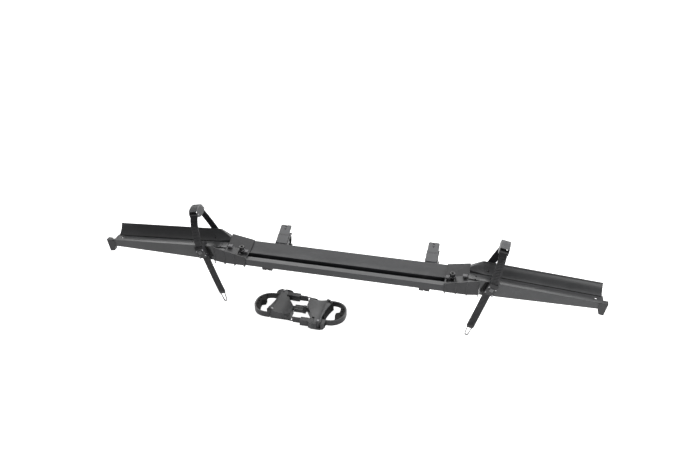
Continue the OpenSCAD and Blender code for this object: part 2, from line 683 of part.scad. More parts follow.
// ---- strap lock
// ----------------------------------------------------------------------------------------
lock_front = -15.5;
pawl_axis = [-12, 4];
button_z = 13;
module right_strap_lock() {
    w = lock_w / 2;
    color("#1a1b1c") place() difference() {
        locking() along_x(-w, w) polygon(rounded([[lock_front, -4], [lock_front, 21], [-10, 28.5], [3,
            31],
            [13, 28.6], [13, 14], [-0.3, 14], [-0.3, -7], [-10, -7]], 0.5));
        sloped() along_x(-60, 160) polygon([[-0.3, -90], [-0.3, 0.3], [60, 0.3], [60, -90]]);
        // Passage for the strap
        strap_band(concat([[-5, -30]], side_line), front_line, strap_w + 1.6, -strap_t / 2 - 0.5,
            strap_t / 2 + tooth_h + 0.5);
        locking() {
            // Room for the pawl and the button
            along_x(-6.4, 6.4) polygon([[lock_front + 1.6, -2], [lock_front + 1.6, 19.5], [-6, 19.5],
                [-6, -2]]);
            along_x(-5.2, 5.2) polygon([[lock_front - 2, button_z - 5], [lock_front - 2, button_z + 5],
                [-10, button_z + 5], [-10, button_z - 5]]);
            translate([0, pawl_axis[0], pawl_axis[1]]) rod_x(-30, 30, 1 + 0.01);
        }
    }
}
module left_strap_lock() { left_side() right_strap_lock(); }
module right_release_button() {
    color("#9a9c9e") place() locking() {
        translate([-4.8, lock_front - 2.4, button_z - 4.6]) cube([9.6, 4.3, 9.2]);
        translate([-5.8, lock_front + 1.9, button_z - 4.8]) cube([11.6, 0.7, 9.6]);
        translate([-3, lock_front + 2.5, button_z]) cube([6, 1.3, 1.6]);
    }
}
module left_release_button() { left_side() right_release_button(); }
module right_lock_pawl() {
    color("#55575a") place() locking() difference() {
        along_x(-5.6, 5.6) union() {
            translate(pawl_axis) circle(r = 1.9);
            translate(pawl_axis) polygon([[-1.2, 0], [0.5, 2.6], [0.5, 10.8], [1.7, 11], [1.9, 2.4],
                [1.8, 0],
                [3.8, -3.2], [3.2, -3.8], [-1, -1.4]]);
        }
        translate([0, pawl_axis[0], pawl_axis[1]]) rod_x(-30, 30, 1 + pin_slack);
    }
}
module left_lock_pawl() { left_side() right_lock_pawl(); }
// Soft strips beside the locks, which keep the tails off the skirt
module rub_strips() {
    color("#0b0b0c") place() both_sides() intersection() {
        along_y(-1.6, -0.02) translate([strap_x - 2.4, pivot_z + 2]) rotate(-lock_lean)
            translate([-lock_w / 2 - 7.4, -14])
            square([7, 40]);
        along_y(-5, 5) polygon([[apron_out + 1, 0.3], [apron_out + 1, lip_z(apron_out) - 1.5],
            [tray_out, lip_z(tray_out)
            - 1.5], [tray_out, 0.3]]);
    }
}
module pawl_pins() {
    color("#77797b") place() both_sides() locking() translate([0, pawl_axis[0], pawl_axis[1]]) {
        rod_x(-lock_w / 2, lock_w / 2, 1);
    }
}

// ---- frame coupler
// -------------------------------------------------------------------------------------
link_reach = 34;
link_r = 6;
coupler_at = [-112, -6, -128];
half = coupler_len / 2;
loop_r = loop_w / 2 - 6;
band_z = (head_h - band_h) / 2;
// Middle line of the strap: from the head's rear, round the loop and along the front to the tail
strap_mid = loop_w / 2 - band_t / 2;
loop_end = half - band_t / 2;
band_line = concat([[72, strap_mid], [loop_end - loop_r, strap_mid]],
    arc([loop_end - loop_r, strap_mid - loop_r], loop_r, 84, 6, 12),
    arc([loop_end - loop_r, loop_r - strap_mid], loop_r, -6, -84, 12),
    [[loop_end - loop_r, -strap_mid], [76, -strap_mid - 0.5], [60, -strap_mid - 3], [36, -strap_mid - 5],
    [16, -strap_mid - 6], [-6, -strap_mid - 6]]);
// Axle of the buckle lever, in front of the strap
buckle_axle = [62, -strap_mid - 13];
module coupler_place(turn) {
    place() translate(coupler_at) rotate([0, 0, turn]) children();
}
head_outline = [[16, 39], [70, 39], [80, 31], [68, -33], [71, buckle_axle[1] - 6], [53, buckle_axle[1]
    - 6], [40, -32],
    [17, 6]];
// Seat for the bicycle's tube, and its centre
seat_r = 140;
seat_c = [72, 0] + seat_r * [cos(10.5), -sin(10.5)];
module head_shape() {
    difference() {
        union() {
            linear_extrude(head_h) polygon(rounded(head_outline, 3));
            // Raised rim along the rear
            translate([0, 0, head_h - 1]) linear_extrude(5) polygon(rounded([[34, 39], [70, 39], [77.5,
                30], [76, 24],
                [72, 31], [66, 34.5], [36, 35]], 1.5));
        }
        // Dished top
        translate([40, 0, head_h + 61]) rotate([90, 0, 0]) cylinder(h = 140, r = 66, center = true,
            $fn = 360);
        // Concave seat that faces the loop
        translate([seat_c[0], seat_c[1], -1]) cylinder(h = 60, r = seat_r, $fn = 360);
        // Slots for the strap, and the bay of the buckle
        translate([60, strap_mid - band_t / 2 - slack, band_z - slack]) cube([60, band_t + 2 * slack,
            band_h + 2 * slack]);
        translate([10, -70, 3.5]) cube([72, 70 - strap_mid + 6, head_h - 8]);
        // Socket of the link
        translate([0, 0, head_h / 2]) rotate([0, 90, 0]) cylinder(h = link_reach + slack, r = link_r
            + pin_slack);
        translate([buckle_axle[0], buckle_axle[1], -5]) cylinder(h = 60, r = 1.8 + pin_slack / 5);
        translate([66, strap_mid - 7, -5]) cylinder(h = 60, r = 1.6);
    }
}
module coupler_right_head() { color("#2c2d2f") coupler_place(0) head_shape(); }
module coupler_left_head() { color("#2c2d2f") coupler_place(180) head_shape(); }
module strap_shape() {
    translate([0, 0, band_z]) linear_extrude(band_h) polygon(band(band_line, -band_t / 2, band_t / 2));
    // Open pull loop at the tail's end
    translate([-6, -strap_mid - 6 + band_t / 2, head_h / 2]) rotate([90, 0, 0])
        linear_extrude(band_t / 2) difference() {
        polygon(concat([[1, band_h / 2], [-4, band_h / 2 - 0.5]], arc([-25, 0], 4.5, 100, 260, 10),
            [[-4, 0.5 - band_h / 2], [1, -band_h / 2]]));
        polygon(concat([[-3, band_h / 2 - 2.6]], arc([-25, 0], 2.4, 100, 260, 8), [[-3, 2.6
            - band_h / 2]]));
    }
}
module coupler_right_strap() { color("#1e1f20") coupler_place(0) strap_shape(); }
module coupler_left_strap() { color("#1e1f20") coupler_place(180) strap_shape(); }
module buckle_shape() {
    y0 = buckle_axle[1];
    difference() {
        union() {
            for (z = [4, head_h - 7]) translate([0, 0, z]) linear_extrude(2.4)
                polygon(rounded([[34, y0 + 12], [34, y0 - 1], [54, y0 - 6], [65.5, y0 - 6], [71, y0
                    - 8.4],
                    [76.5, y0 - 7.6], [80, y0 + 1], [80, y0 + 15]], 1));
            // Guide block that the tail runs through
            translate([14, y0 - 2, 3.7]) cube([21, 15, head_h - 8.4]);
            // Domed cover outside the axle
            translate([0, 0, 4]) linear_extrude(head_h - 8.6) polygon(concat(arc([68, y0 + 1.5], 11.5,
                285, 350, 8),
                arc([68, y0 + 1.5], 9, 350, 285, 8)));
        }
        translate([0, 0, band_z - slack]) linear_extrude(band_h + 2 * slack)
            polygon(band(band_line, -band_t / 2 - 0.5, band_t / 2 + 0.5));
        translate([buckle_axle[0], y0, 0]) cylinder(h = 40, r = 1.8 + 0.01);
    }
}
module coupler_right_buckle() { color("#18191a") coupler_place(0) buckle_shape(); }
module coupler_left_buckle() { color("#18191a") coupler_place(180) buckle_shape(); }
module buckle_lever_shape() {
    y0 = buckle_axle[1];
    difference() {
        union() {
            // Boss and arm between the plates
            translate([0, 0, 6.7]) linear_extrude(head_h - 14.2) {
                translate(buckle_axle) circle(r = 4.4);
                polygon([[62, y0 - 4.2], [62, y0 + 1], [44, y0 - 2.4], [42, y0 - 6]]);
            }
            // Finger plate over the whole height
            translate([0, 0, 3.2]) linear_extrude(head_h - 6.4) polygon(rounded([[60, y0 - 9.4], [47,
                y0 - 9.8],
                [36.5, y0 - 5.4], [37.2, y0 - 3], [47.5, y0 - 7.2], [60, y0 - 7]], 0.8));
            translate([0, 0, 6.7]) linear_extrude(head_h - 14.2) polygon([[49, y0 - 8], [50, y0 - 2],
                [60, y0 - 3],
                [57, y0 - 8.5]]);
        }
        translate([buckle_axle[0], y0, 0]) cylinder(h = 40, r = 1.8 + pin_slack);
    }
}
module coupler_right_lever() { color("#242527") coupler_place(0) buckle_lever_shape(); }
module coupler_left_lever() { color("#242527") coupler_place(180) buckle_lever_shape(); }
module coupler_pin_shape() {
    translate([buckle_axle[0], buckle_axle[1], 0.2]) cylinder(h = head_h - 3, r = 1.8);
    translate([66, strap_mid - 7, 0.5]) cylinder(h = head_h - 4, r = 1.6 - pin_slack);
}
module coupler_right_pins() { color("#77797b") coupler_place(0) coupler_pin_shape(); }
module coupler_left_pins() { color("#77797b") coupler_place(180) coupler_pin_shape(); }
// Ribbed rubber seat between a head and the bicycle's tube
module seat_shape() {
    translate([0, 0, 2]) linear_extrude(head_h - 7) difference() {
        intersection() {
            polygon([[50, -30], [100, -30], [100, 28], [50, 28]]);
            translate(seat_c) circle(r = seat_r - 0.1, $fn = 360);
        }
        translate(seat_c) circle(r = seat_r - 3, $fn = 360);
        for (a = [-8:4:8]) translate(seat_c + (seat_r - 3) * [-cos(a - 10.5), -sin(a - 10.5)])
            circle(r = 1.2);
    }
}
module coupler_right_seat() { color("#101011") coupler_place(0) seat_shape(); }
module coupler_left_seat() { color("#101011") coupler_place(180) seat_shape(); }
// Grip pad that lines the far end of a loop
module pad_shape() {
    r = loop_r - band_t / 2 - slack;
    e = half - band_t - slack;
    translate([0, 0, band_z - 1]) linear_extrude(band_h + 2) difference() {
        polygon(concat(arc([loop_end - loop_r, strap_mid - loop_r], r, 60, 4, 10),
            arc([loop_end - loop_r, loop_r - strap_mid], r, -4, -60, 10),
            [[e - 16, -26], [e - 21, -20], [e - 21, -8], [e - 12, -3], [e - 12, 6], [e - 15, 20]]));
        for (y = [-14, 1, 12]) translate([e - 6, y]) circle(r = 2.2);
    }
}
module coupler_right_pad() { color("#101011") coupler_place(0) pad_shape(); }
module coupler_left_pad() { color("#101011") coupler_place(180) pad_shape(); }
// Link bar with ribs, which one head swivels on
module coupler_link() {
    color("#232426") coupler_place(0) translate([0, 0, head_h / 2]) {
        rod_x(-link_reach, link_reach, link_r);
        difference() {
            translate([-15.5, -10, -5]) cube([31, 20, 10]);
            for (y = [-6, 0, 6], z = [-6.2, 3.8]) translate([-20, y - 1, z]) cube([40, 2, 2.4]);
        }
        rod_x(9, 15, 11);
    }
}
centre_channel();
arm_bolts();
arm_nut_plates();
junction_bolts();
sleeve_clamp_bolts();
tray_screws();
left_junction_sleeve();
right_junction_sleeve();
left_wheel_tray();
right_wheel_tray();
left_end_foot();
right_end_foot();
left_mount_arm();
right_mount_arm();
left_saddle_liner();
right_saddle_liner();
left_clamp_jaw();
right_clamp_jaw();
left_jaw_liner();
right_jaw_liner();
left_clamp_lever();
right_clamp_lever();
left_clamp_pins();
right_clamp_pins();
left_ladder_strap();
right_ladder_strap();
left_anchor_strap();
right_anchor_strap();
anchor_screws();
left_buckle_frame();
right_buckle_frame();
left_buckle_lever();
right_buckle_lever();
left_buckle_pins();
right_buckle_pins();
left_strap_lock();
right_strap_lock();
left_release_button();
right_release_button();
left_lock_pawl();
right_lock_pawl();
pawl_pins();
rub_strips();
coupler_left_head();
coupler_right_head();
coupler_left_strap();
coupler_right_strap();
coupler_left_buckle();
coupler_right_buckle();
coupler_left_lever();
coupler_right_lever();
coupler_left_pins();
coupler_right_pins();
coupler_left_seat();
coupler_right_seat();
coupler_left_pad();
coupler_right_pad();
coupler_link();
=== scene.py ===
"""Looks of an add-on wheel tray for a platform bike rack, with its loose frame coupler.

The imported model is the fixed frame. Each sub-assembly is a class that dresses its nodes and adds the small
moulded and fastened details that ride on them. Lengths in the classes are in millimetres, in tray
coordinates: X along the tray, Y back from the front skirt and Z up from the skirt's lower edge.
"""

from __future__ import annotations

import json
import logging
import math
from dataclasses import dataclass, field
from enum import Enum
from typing import Iterable, Sequence

import bmesh
import bpy
from mathutils import Matrix, Vector

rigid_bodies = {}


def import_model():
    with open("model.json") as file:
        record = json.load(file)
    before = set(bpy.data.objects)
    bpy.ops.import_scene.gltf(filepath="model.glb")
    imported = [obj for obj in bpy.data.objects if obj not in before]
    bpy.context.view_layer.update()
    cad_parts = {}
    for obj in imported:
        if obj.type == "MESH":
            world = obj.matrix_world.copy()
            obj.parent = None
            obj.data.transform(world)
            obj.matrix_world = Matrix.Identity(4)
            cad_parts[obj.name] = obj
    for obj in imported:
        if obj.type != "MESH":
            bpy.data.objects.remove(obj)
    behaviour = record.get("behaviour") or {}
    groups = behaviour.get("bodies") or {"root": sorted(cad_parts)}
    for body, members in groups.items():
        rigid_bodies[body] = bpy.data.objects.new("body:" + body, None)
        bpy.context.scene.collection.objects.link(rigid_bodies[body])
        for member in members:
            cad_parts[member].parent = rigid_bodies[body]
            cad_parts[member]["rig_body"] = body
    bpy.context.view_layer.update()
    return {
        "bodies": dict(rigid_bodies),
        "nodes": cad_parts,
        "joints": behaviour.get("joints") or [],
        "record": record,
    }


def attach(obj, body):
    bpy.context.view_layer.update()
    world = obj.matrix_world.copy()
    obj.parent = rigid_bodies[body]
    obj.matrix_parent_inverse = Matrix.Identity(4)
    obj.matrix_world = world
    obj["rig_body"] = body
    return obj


LOG = logging.getLogger("wheel_tray")
MM = 0.001
ARM_X = 207.5  # middle of each arm
STRAP_X = 372.0  # middle of each wheel strap
LEVER_RISE = 23.7  # turn of the closed clamp lever about the tube, in degrees
LOOP_LEAN = 11.5  # outward lean of the strap loop, in degrees
LOCK_LEAN = 25.0  # outward lean of the strap lock, in degrees
BOLT_AT = (276.0, 26.0, 0.0)  # foot of the sleeve's clamp bolt
COUPLER_AT = (-112.0, -6.0, -128.0)  # where the coupler's own coordinates start
TUBE = Vector((0.0, 178.0, -30.0))  # the rack tube's axis, where the row frame has its origin
Point2 = tuple[float, float]
Colour = tuple[float, float, float]


class Side(Enum):
    """The two ends of the tray, with the sign of their X."""

    LEFT = -1
    RIGHT = 1

    @property
    def word(self) -> str:
        """The side's name as the nodes spell it."""
        return self.name.lower()


class Grain(Enum):
    """How a surface was made, which sets the direction of its fine marks."""

    MOULDED = "moulded"
    EXTRUDED = "extruded"
    COATED = "coated"


# ---- shader node groups ------------------------------------------------------------------------------


@dataclass
class GroupMaker:
    """Makes one shader node group with named sockets."""

    name: str
    tree: bpy.types.NodeTree = field(init=False)
    ends: tuple[bpy.types.Node, bpy.types.Node] = field(init=False)

    def __post_init__(self) -> None:
        """Makes the empty group and its two end nodes."""
        self.tree = bpy.data.node_groups.new(self.name, "ShaderNodeTree")
        self.ends = (self.tree.nodes.new("NodeGroupInput"), self.tree.nodes.new("NodeGroupOutput"))

    def socket(self, name: str, kind: str, way: str, value: float | None = None) -> None:
        """Adds a named socket.

        Args:
            name: The socket's name.
            kind: Float, Vector or Color.
            way: INPUT or OUTPUT.
            value: The default of a Float input.
        """
        made = self.tree.interface.new_socket(name=name, in_out=way, socket_type=f"NodeSocket{kind}")
        if value is not None:
            made.default_value = value

    def node(self, kind: str, **settings: object) -> bpy.types.Node:
        """Adds a node with its settings.

        Args:
            kind: The node's type without its ShaderNode prefix.
            settings: Properties of the node.

        Returns:
            The new node.
        """
        made = self.tree.nodes.new(f"ShaderNode{kind}")
        for key, value in settings.items():
            setattr(made, key, value)
        return made

    def link(self, source: object, target: object) -> None:
        """Joins two sockets."""
        self.tree.links.new(source, target)

    def sum_of(self, operation: str, a: object, b: object) -> bpy.types.NodeSocket:
        """Adds a Math node.

        Args:
            operation: The Math node's operation.
            a: A socket or a number.
            b: A socket or a number.

        Returns:
            The result's socket.
        """
        made = self.node("Math", operation=operation)
        for place, value in enumerate((a, b)):
            if isinstance(value, (int, float)):
                made.inputs[place].default_value = value
            else:
                self.link(value, made.inputs[place])
        return made.outputs[0]


def surface_marks() -> bpy.types.NodeTree:
    """Fine grain, broad mottling and fine scratches, all in object space.

    Returns:
        The group, with outputs Height, Mottle and Scratch.
    """
    g = GroupMaker("surface_marks")
    for name, value in (("Grain Scale", 1400.0), ("Mottle Scale", 14.0), ("Scratch Scale", 60.0)):
        g.socket(name, "Float", "INPUT", value)
    g.socket("Stretch", "Vector", "INPUT")
    for name in ("Height", "Mottle", "Scratch"):
        g.socket(name, "Float", "OUTPUT")
    start, end = g.ends
    place = g.node("TexCoord").outputs["Object"]
    stretched = g.node("VectorMath", operation="MULTIPLY")
    g.link(place, stretched.inputs[0])
    g.link(start.outputs["Stretch"], stretched.inputs[1])
    grain = g.node("TexNoise")
    grain.inputs["Detail"].default_value = 3.0
    grain.inputs["Roughness"].default_value = 0.65
    g.link(stretched.outputs[0], grain.inputs["Vector"])
    g.link(start.outputs["Grain Scale"], grain.inputs["Scale"])
    mottle = g.node("TexNoise")
    mottle.inputs["Detail"].default_value = 5.0
    mottle.inputs["Roughness"].default_value = 0.6
    g.link(place, mottle.inputs["Vector"])
    g.link(start.outputs["Mottle Scale"], mottle.inputs["Scale"])
    lines = g.node("TexVoronoi", feature="DISTANCE_TO_EDGE")
    bent = g.node("TexNoise")
    bent.inputs["Scale"].default_value = 9.0
    g.link(place, bent.inputs["Vector"])
    moved = g.node("VectorMath", operation="MULTIPLY_ADD")
    moved.inputs[1].default_value = (0.05, 0.05, 0.05)
    g.link(bent.outputs["Color"], moved.inputs[0])
    g.link(stretched.outputs[0], moved.inputs[2])
    g.link(moved.outputs[0], lines.inputs["Vector"])
    g.link(start.outputs["Scratch Scale"], lines.inputs["Scale"])
    thin = g.node("MapRange")
    for place_no, value in ((1, 0.0), (2, 0.03), (3, 1.0), (4, 0.0)):
        thin.inputs[place_no].default_value = value
    g.link(lines.outputs["Distance"], thin.inputs[0])
    patch = g.node("MapRange")
    for place_no, value in ((1, 0.52), (2, 0.66), (3, 0.0), (4, 1.0)):
        patch.inputs[place_no].default_value = value
    g.link(mottle.outputs[0], patch.inputs[0])
    g.link(grain.outputs[0], end.inputs["Height"])
    g.link(mottle.outputs[0], end.inputs["Mottle"])
    g.link(g.sum_of("MULTIPLY", thin.outputs[0], patch.outputs[0]), end.inputs["Scratch"])
    return g.tree


def edge_wear() -> bpy.types.NodeTree:
    """Worn edges: where a rounded normal leaves the true one, broken up by noise.

    Returns:
        The group, with inputs Radius and Amount and outputs Mask and Normal.
    """
    g = GroupMaker("edge_wear")
    g.socket("Radius", "Float", "INPUT", 0.0007)
    g.socket("Amount", "Float", "INPUT", 0.5)
    g.socket("Mask", "Float", "OUTPUT")
    g.socket("Normal", "Vector", "OUTPUT")
    start, end = g.ends
    round_edge = g.node("Bevel", samples=4)
    g.link(start.outputs["Radius"], round_edge.inputs["Radius"])
    true_normal = g.node("NewGeometry").outputs["Normal"]
    dot = g.node("VectorMath", operation="DOT_PRODUCT")
    g.link(round_edge.outputs[0], dot.inputs[0])
    g.link(true_normal, dot.inputs[1])
    off = g.sum_of("SUBTRACT", 1.0, dot.outputs["Value"])
    noise = g.node("TexNoise")
    noise.inputs["Scale"].default_value = 90.0
    noise.inputs["Detail"].default_value = 4.0
    g.link(g.node("TexCoord").outputs["Object"], noise.inputs["Vector"])
    gate = g.node("MapRange")
    for place_no, value in ((1, 0.4), (2, 0.62), (3, 0.15), (4, 1.0)):
        gate.inputs[place_no].default_value = value
    g.link(noise.outputs[0], gate.inputs[0])
    strong = g.sum_of("MULTIPLY", off, 6.0)
    mask = g.node("Math", operation="MULTIPLY", use_clamp=True)
    g.link(g.sum_of("MULTIPLY", strong, gate.outputs[0]), mask.inputs[0])
    g.link(start.outputs["Amount"], mask.inputs[1])
    g.link(mask.outputs[0], end.inputs["Mask"])
    g.link(round_edge.outputs[0], end.inputs["Normal"])
    return g.tree


def settled_dust() -> bpy.types.NodeTree:
    """A thin film of dust on faces that look up.

    Returns:
        The group, with input Amount and output Mask.
    """
    g = GroupMaker("settled_dust")
    g.socket("Amount", "Float", "INPUT", 0.1)
    g.socket("Mask", "Float", "OUTPUT")
    start, end = g.ends
    split = g.node("SeparateXYZ")
    g.link(g.node("NewGeometry").outputs["Normal"], split.inputs[0])
    up = g.node("MapRange")
    for place_no, value in ((1, 0.35), (2, 1.0), (3, 0.0), (4, 1.0)):
        up.inputs[place_no].default_value = value
    g.link(split.outputs["Z"], up.inputs[0])
    noise = g.node("TexNoise")
    noise.inputs["Scale"].default_value = 35.0
    noise.inputs["Detail"].default_value = 8.0
    g.link(g.node("TexCoord").outputs["Object"], noise.inputs["Vector"])
    film = g.sum_of("MULTIPLY", up.outputs[0], noise.outputs[0])
    g.link(g.sum_of("MULTIPLY", film, start.outputs["Amount"]), end.inputs["Mask"])
    return g.tree


@dataclass
class Effects:
    """The shader node groups that the finishes share."""

    marks: bpy.types.NodeTree = field(default_factory=surface_marks)
    wear: bpy.types.NodeTree = field(default_factory=edge_wear)
    dust: bpy.types.NodeTree = field(default_factory=settled_dust)


# ---- finishes ----------------------------------------------------------------------------------------


@dataclass(frozen=True)
class Finish:
    """One finish of the object, from which its material is made.

    The colours are linear. Depths are in metres.
    """

    name: str
    slot: str
    colour: Colour
    worn: Colour = (0.16, 0.16, 0.165)
    roughness: float = 0.45
    metallic: float = 0.0
    specular: float = 0.5
    coat: float = 0.0
    grain: Grain = Grain.MOULDED
    grain_scale: float = 1400.0
    depth: float = 0.00006
    mottle: float = 0.25
    wear: float = 0.45
    edge: float = 0.0007
    dust: float = 0.10

    def stretch(self) -> tuple[float, float, float]:
        """How the fine marks are drawn out along the piece."""
        return (0.035, 1.0, 1.0) if self.grain is Grain.EXTRUDED else (1.0, 1.0, 1.0)

    def material(self, effects: Effects) -> bpy.types.Material:
        """Makes the material.

        Args:
            effects: The shared node groups.

        Returns:
            The new material.
        """
        made = bpy.data.materials.new(self.name)
        made.use_nodes = True
        tree = made.node_tree
        shader = tree.nodes["Principled BSDF"]
        marks = tree.nodes.new("ShaderNodeGroup")
        marks.node_tree = effects.marks
        marks.inputs["Grain Scale"].default_value = self.grain_scale
        marks.inputs["Stretch"].default_value = self.stretch()
        wear = tree.nodes.new("ShaderNodeGroup")
        wear.node_tree = effects.wear
        wear.inputs["Radius"].default_value = self.edge
        wear.inputs["Amount"].default_value = self.wear
        dust = tree.nodes.new("ShaderNodeGroup")
        dust.node_tree = effects.dust
        dust.inputs["Amount"].default_value = self.dust
        tone = tree.nodes.new("ShaderNodeMapRange")
        for place_no, value in ((1, 0.3), (2, 0.7), (3, 1.0 - self.mottle), (4, 1.0 + self.mottle)):
            tone.inputs[place_no].default_value = value
        tree.links.new(marks.outputs["Mottle"], tone.inputs[0])
        base = tree.nodes.new("ShaderNodeVectorMath")
        base.operation = "SCALE"
        base.inputs[0].default_value = self.colour
        tree.links.new(tone.outputs[0], base.inputs["Scale"])
        last: bpy.types.NodeSocket = base.outputs[0]
        dusty = (0.42, 0.41, 0.40)
        rub = tree.nodes.new("ShaderNodeMath")
        rub.operation = "MULTIPLY"
        rub.inputs[1].default_value = self.wear * 0.35
        tree.links.new(marks.outputs["Scratch"], rub.inputs[0])
        for mask, colour in ((wear.outputs["Mask"], self.worn), (rub.outputs[0], self.worn),
                             (dust.outputs["Mask"], dusty)):
            mix = tree.nodes.new("ShaderNodeMix")
            mix.data_type = "RGBA"
            tree.links.new(mask, mix.inputs[0])
            tree.links.new(last, mix.inputs[6])
            mix.inputs[7].default_value = (*colour, 1.0)
            last = mix.outputs[2]
        tree.links.new(last, shader.inputs["Base Color"])
        rough = tree.nodes.new("ShaderNodeMapRange")
        for place_no, value in ((1, 0.3), (2, 0.7), (3, self.roughness - 0.06), (4, self.roughness + 0.07)):
            rough.inputs[place_no].default_value = value
        tree.links.new(marks.outputs["Mottle"], rough.inputs[0])
        tree.links.new(rough.outputs[0], shader.inputs["Roughness"])
        bump = tree.nodes.new("ShaderNodeBump")
        bump.inputs["Strength"].default_value = 0.6
        bump.inputs["Distance"].default_value = self.depth
        tree.links.new(marks.outputs["Height"], bump.inputs["Height"])
        tree.links.new(wear.outputs["Normal"], bump.inputs["Normal"])
        tree.links.new(bump.outputs[0], shader.inputs["Normal"])
        shader.inputs["Metallic"].default_value = self.metallic
        shader.inputs["Specular IOR Level"].default_value = self.specular
        shader.inputs["Coat Weight"].default_value = self.coat
        shader.inputs["Coat Roughness"].default_value = 0.3
        return made


ANODISED = Finish("anodised_extrusion", "anodised_channel", (0.030, 0.031, 0.034), worn=(0.22, 0.22, 0.23),
                  roughness=0.36, specular=0.55, grain=Grain.EXTRUDED, grain_scale=900.0, depth=0.00004,
                  mottle=0.18, dust=0.05)
TRAY = Finish("tray_moulding", "tray_plastic", (0.036, 0.037, 0.039), roughness=0.37, coat=0.25,
              grain_scale=1500.0, depth=0.00005, dust=0.05)
MOULDED = Finish("black_moulding", "moulded_black", (0.022, 0.022, 0.024), roughness=0.40, grain_scale=1700.0,
                 dust=0.04)
COATED = Finish("powder_coat", "powder_coat", (0.020, 0.020, 0.022), roughness=0.42, grain=Grain.COATED,
                grain_scale=2200.0, depth=0.00008, dust=0.05)
STRAP = Finish("ladder_strap", "strap_black", (0.016, 0.016, 0.018), roughness=0.34, grain_scale=1100.0,
               wear=0.08, edge=0.0004, dust=0.03)
RUBBER = Finish("soft_rubber", "liner_rubber", (0.010, 0.010, 0.010), roughness=0.72, specular=0.3,
                grain_scale=2600.0, depth=0.00010, wear=0.12, dust=0.06)
LEVER = Finish("grey_lever", "lever_grey", (0.135, 0.137, 0.142), worn=(0.30, 0.30, 0.31), roughness=0.40,
               grain_scale=1600.0, mottle=0.12, wear=0.3, dust=0.04)
COUPLER = Finish("coupler_moulding", "coupler_plastic", (0.040, 0.041, 0.043), roughness=0.38,
                 grain_scale=1500.0, dust=0.05)
ZINC = Finish("zinc_plate", "zinc_steel", (0.42, 0.42, 0.43), worn=(0.55, 0.55, 0.56), roughness=0.33,
              metallic=1.0, grain=Grain.COATED, grain_scale=1200.0, depth=0.00003, mottle=0.2, dust=0.05,
              edge=0.0004)
DULL_STEEL = Finish("dull_plate", "zinc_steel", (0.13, 0.13, 0.135), worn=(0.40, 0.40, 0.41), roughness=0.5,
                    metallic=0.3, grain=Grain.COATED, grain_scale=1200.0, depth=0.00003, mottle=0.2,
                    dust=0.05, edge=0.0004)
BLACK_STEEL = Finish("black_oxide", "black_steel", (0.018, 0.018, 0.019), worn=(0.2, 0.2, 0.2),
                     roughness=0.35, specular=0.6, grain=Grain.COATED, edge=0.0004)


@dataclass
class Paintbox:
    """Makes each finish's material once."""

    effects: Effects = field(default_factory=Effects)
    made: dict[str, bpy.types.Material] = field(default_factory=dict)

    def of(self, finish: Finish) -> bpy.types.Material:
        """The finish's material, made when it is first asked for."""
        if finish.name not in self.made:
            self.made[finish.name] = finish.material(self.effects)
        return self.made[finish.name]


# ---- the frame and small pieces ----------------------------------------------------------------------


def tray_point(x: float, y: float, z: float) -> Vector:
    """A point of tray coordinates in the row frame, in metres."""
    return (Vector((x, y, z)) - TUBE) * MM


def spot(at: Sequence[float], *turns: tuple[float, str]) -> Matrix:
    """A place to build at.

    Args:
        at: The place's origin in tray coordinates.
        turns: Angles in degrees with their axes, applied from the left.

    Returns:
        The matrix from the place's millimetres to tray millimetres.
    """
    made = Matrix.Translation(Vector(at))
    for angle, axis in turns:
        made = made @ Matrix.Rotation(math.radians(angle), 4, axis)
    return made


@dataclass
class Workshop:
    """Holds the loaded frame and makes pieces that ride on it."""

    frame: dict
    paints: Paintbox = field(default_factory=Paintbox)

    def dress(self, finish: Finish, *nodes: str) -> None:
        """Gives CAD nodes a finish.

        Args:
            finish: The finish.
            nodes: The nodes' names.
        """
        for name in nodes:
            piece = self.frame["nodes"][name]
            piece.data.materials.clear()
            piece.data.materials.append(self.paints.of(finish))
            LOG.info("dressed %s in %s", name, finish.name)

    def body_of(self, node: str) -> str:
        """The body that a CAD node belongs to."""
        return self.frame["nodes"][node]["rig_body"]

    def keep(self, name: str, mesh: bmesh.types.BMesh, finish: Finish, body: str, side: Side,
             soften: float = 0.3) -> bpy.types.Object:
        """Turns finished mesh code into a piece of the object.

        Args:
            name: The piece's name.
            mesh: Its mesh in tray millimetres, drawn for the right side.
            finish: Its finish.
            body: The CAD body it rides on.
            side: The left side mirrors the mesh.
            soften: Width of its edge bevel in millimetres, or 0.

        Returns:
            The new object.
        """
        for vertex in mesh.verts:
            x, y, z = vertex.co
            vertex.co = tray_point(x * side.value, y, z)
        bmesh.ops.recalc_face_normals(mesh, faces=mesh.faces[:])
        data = bpy.data.meshes.new(name)
        mesh.to_mesh(data)
        mesh.free()
        piece = bpy.data.objects.new(name, data)
        bpy.context.scene.collection.objects.link(piece)
        data.materials.append(self.paints.of(finish))
        if soften:
            round_off = piece.modifiers.new("round_off", "BEVEL")
            round_off.width = soften * MM
            round_off.segments = 2
            round_off.limit_method = "ANGLE"
            round_off.angle_limit = math.radians(35)
        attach(piece, body)
        LOG.info("built %s on %s", name, body)
        return piece


def add_prism(mesh: bmesh.types.BMesh, outline: Iterable[Point2], low: float, high: float,
              at: Matrix) -> None:
    """Adds an upright prism.

    Args:
        mesh: The mesh that it joins.
        outline: Its outline in the place's X and Y.
        low: Height of its foot.
        high: Height of its top.
        at: The place.
    """
    points = list(outline)
    foot = [mesh.verts.new(at @ Vector((x, y, low))) for x, y in points]
    top = [mesh.verts.new(at @ Vector((x, y, high))) for x, y in points]
    count = len(points)
    mesh.faces.new(foot[::-1])
    mesh.faces.new(top)
    for i in range(count):
        mesh.faces.new((foot[i], foot[(i + 1) % count], top[(i + 1) % count], top[i]))


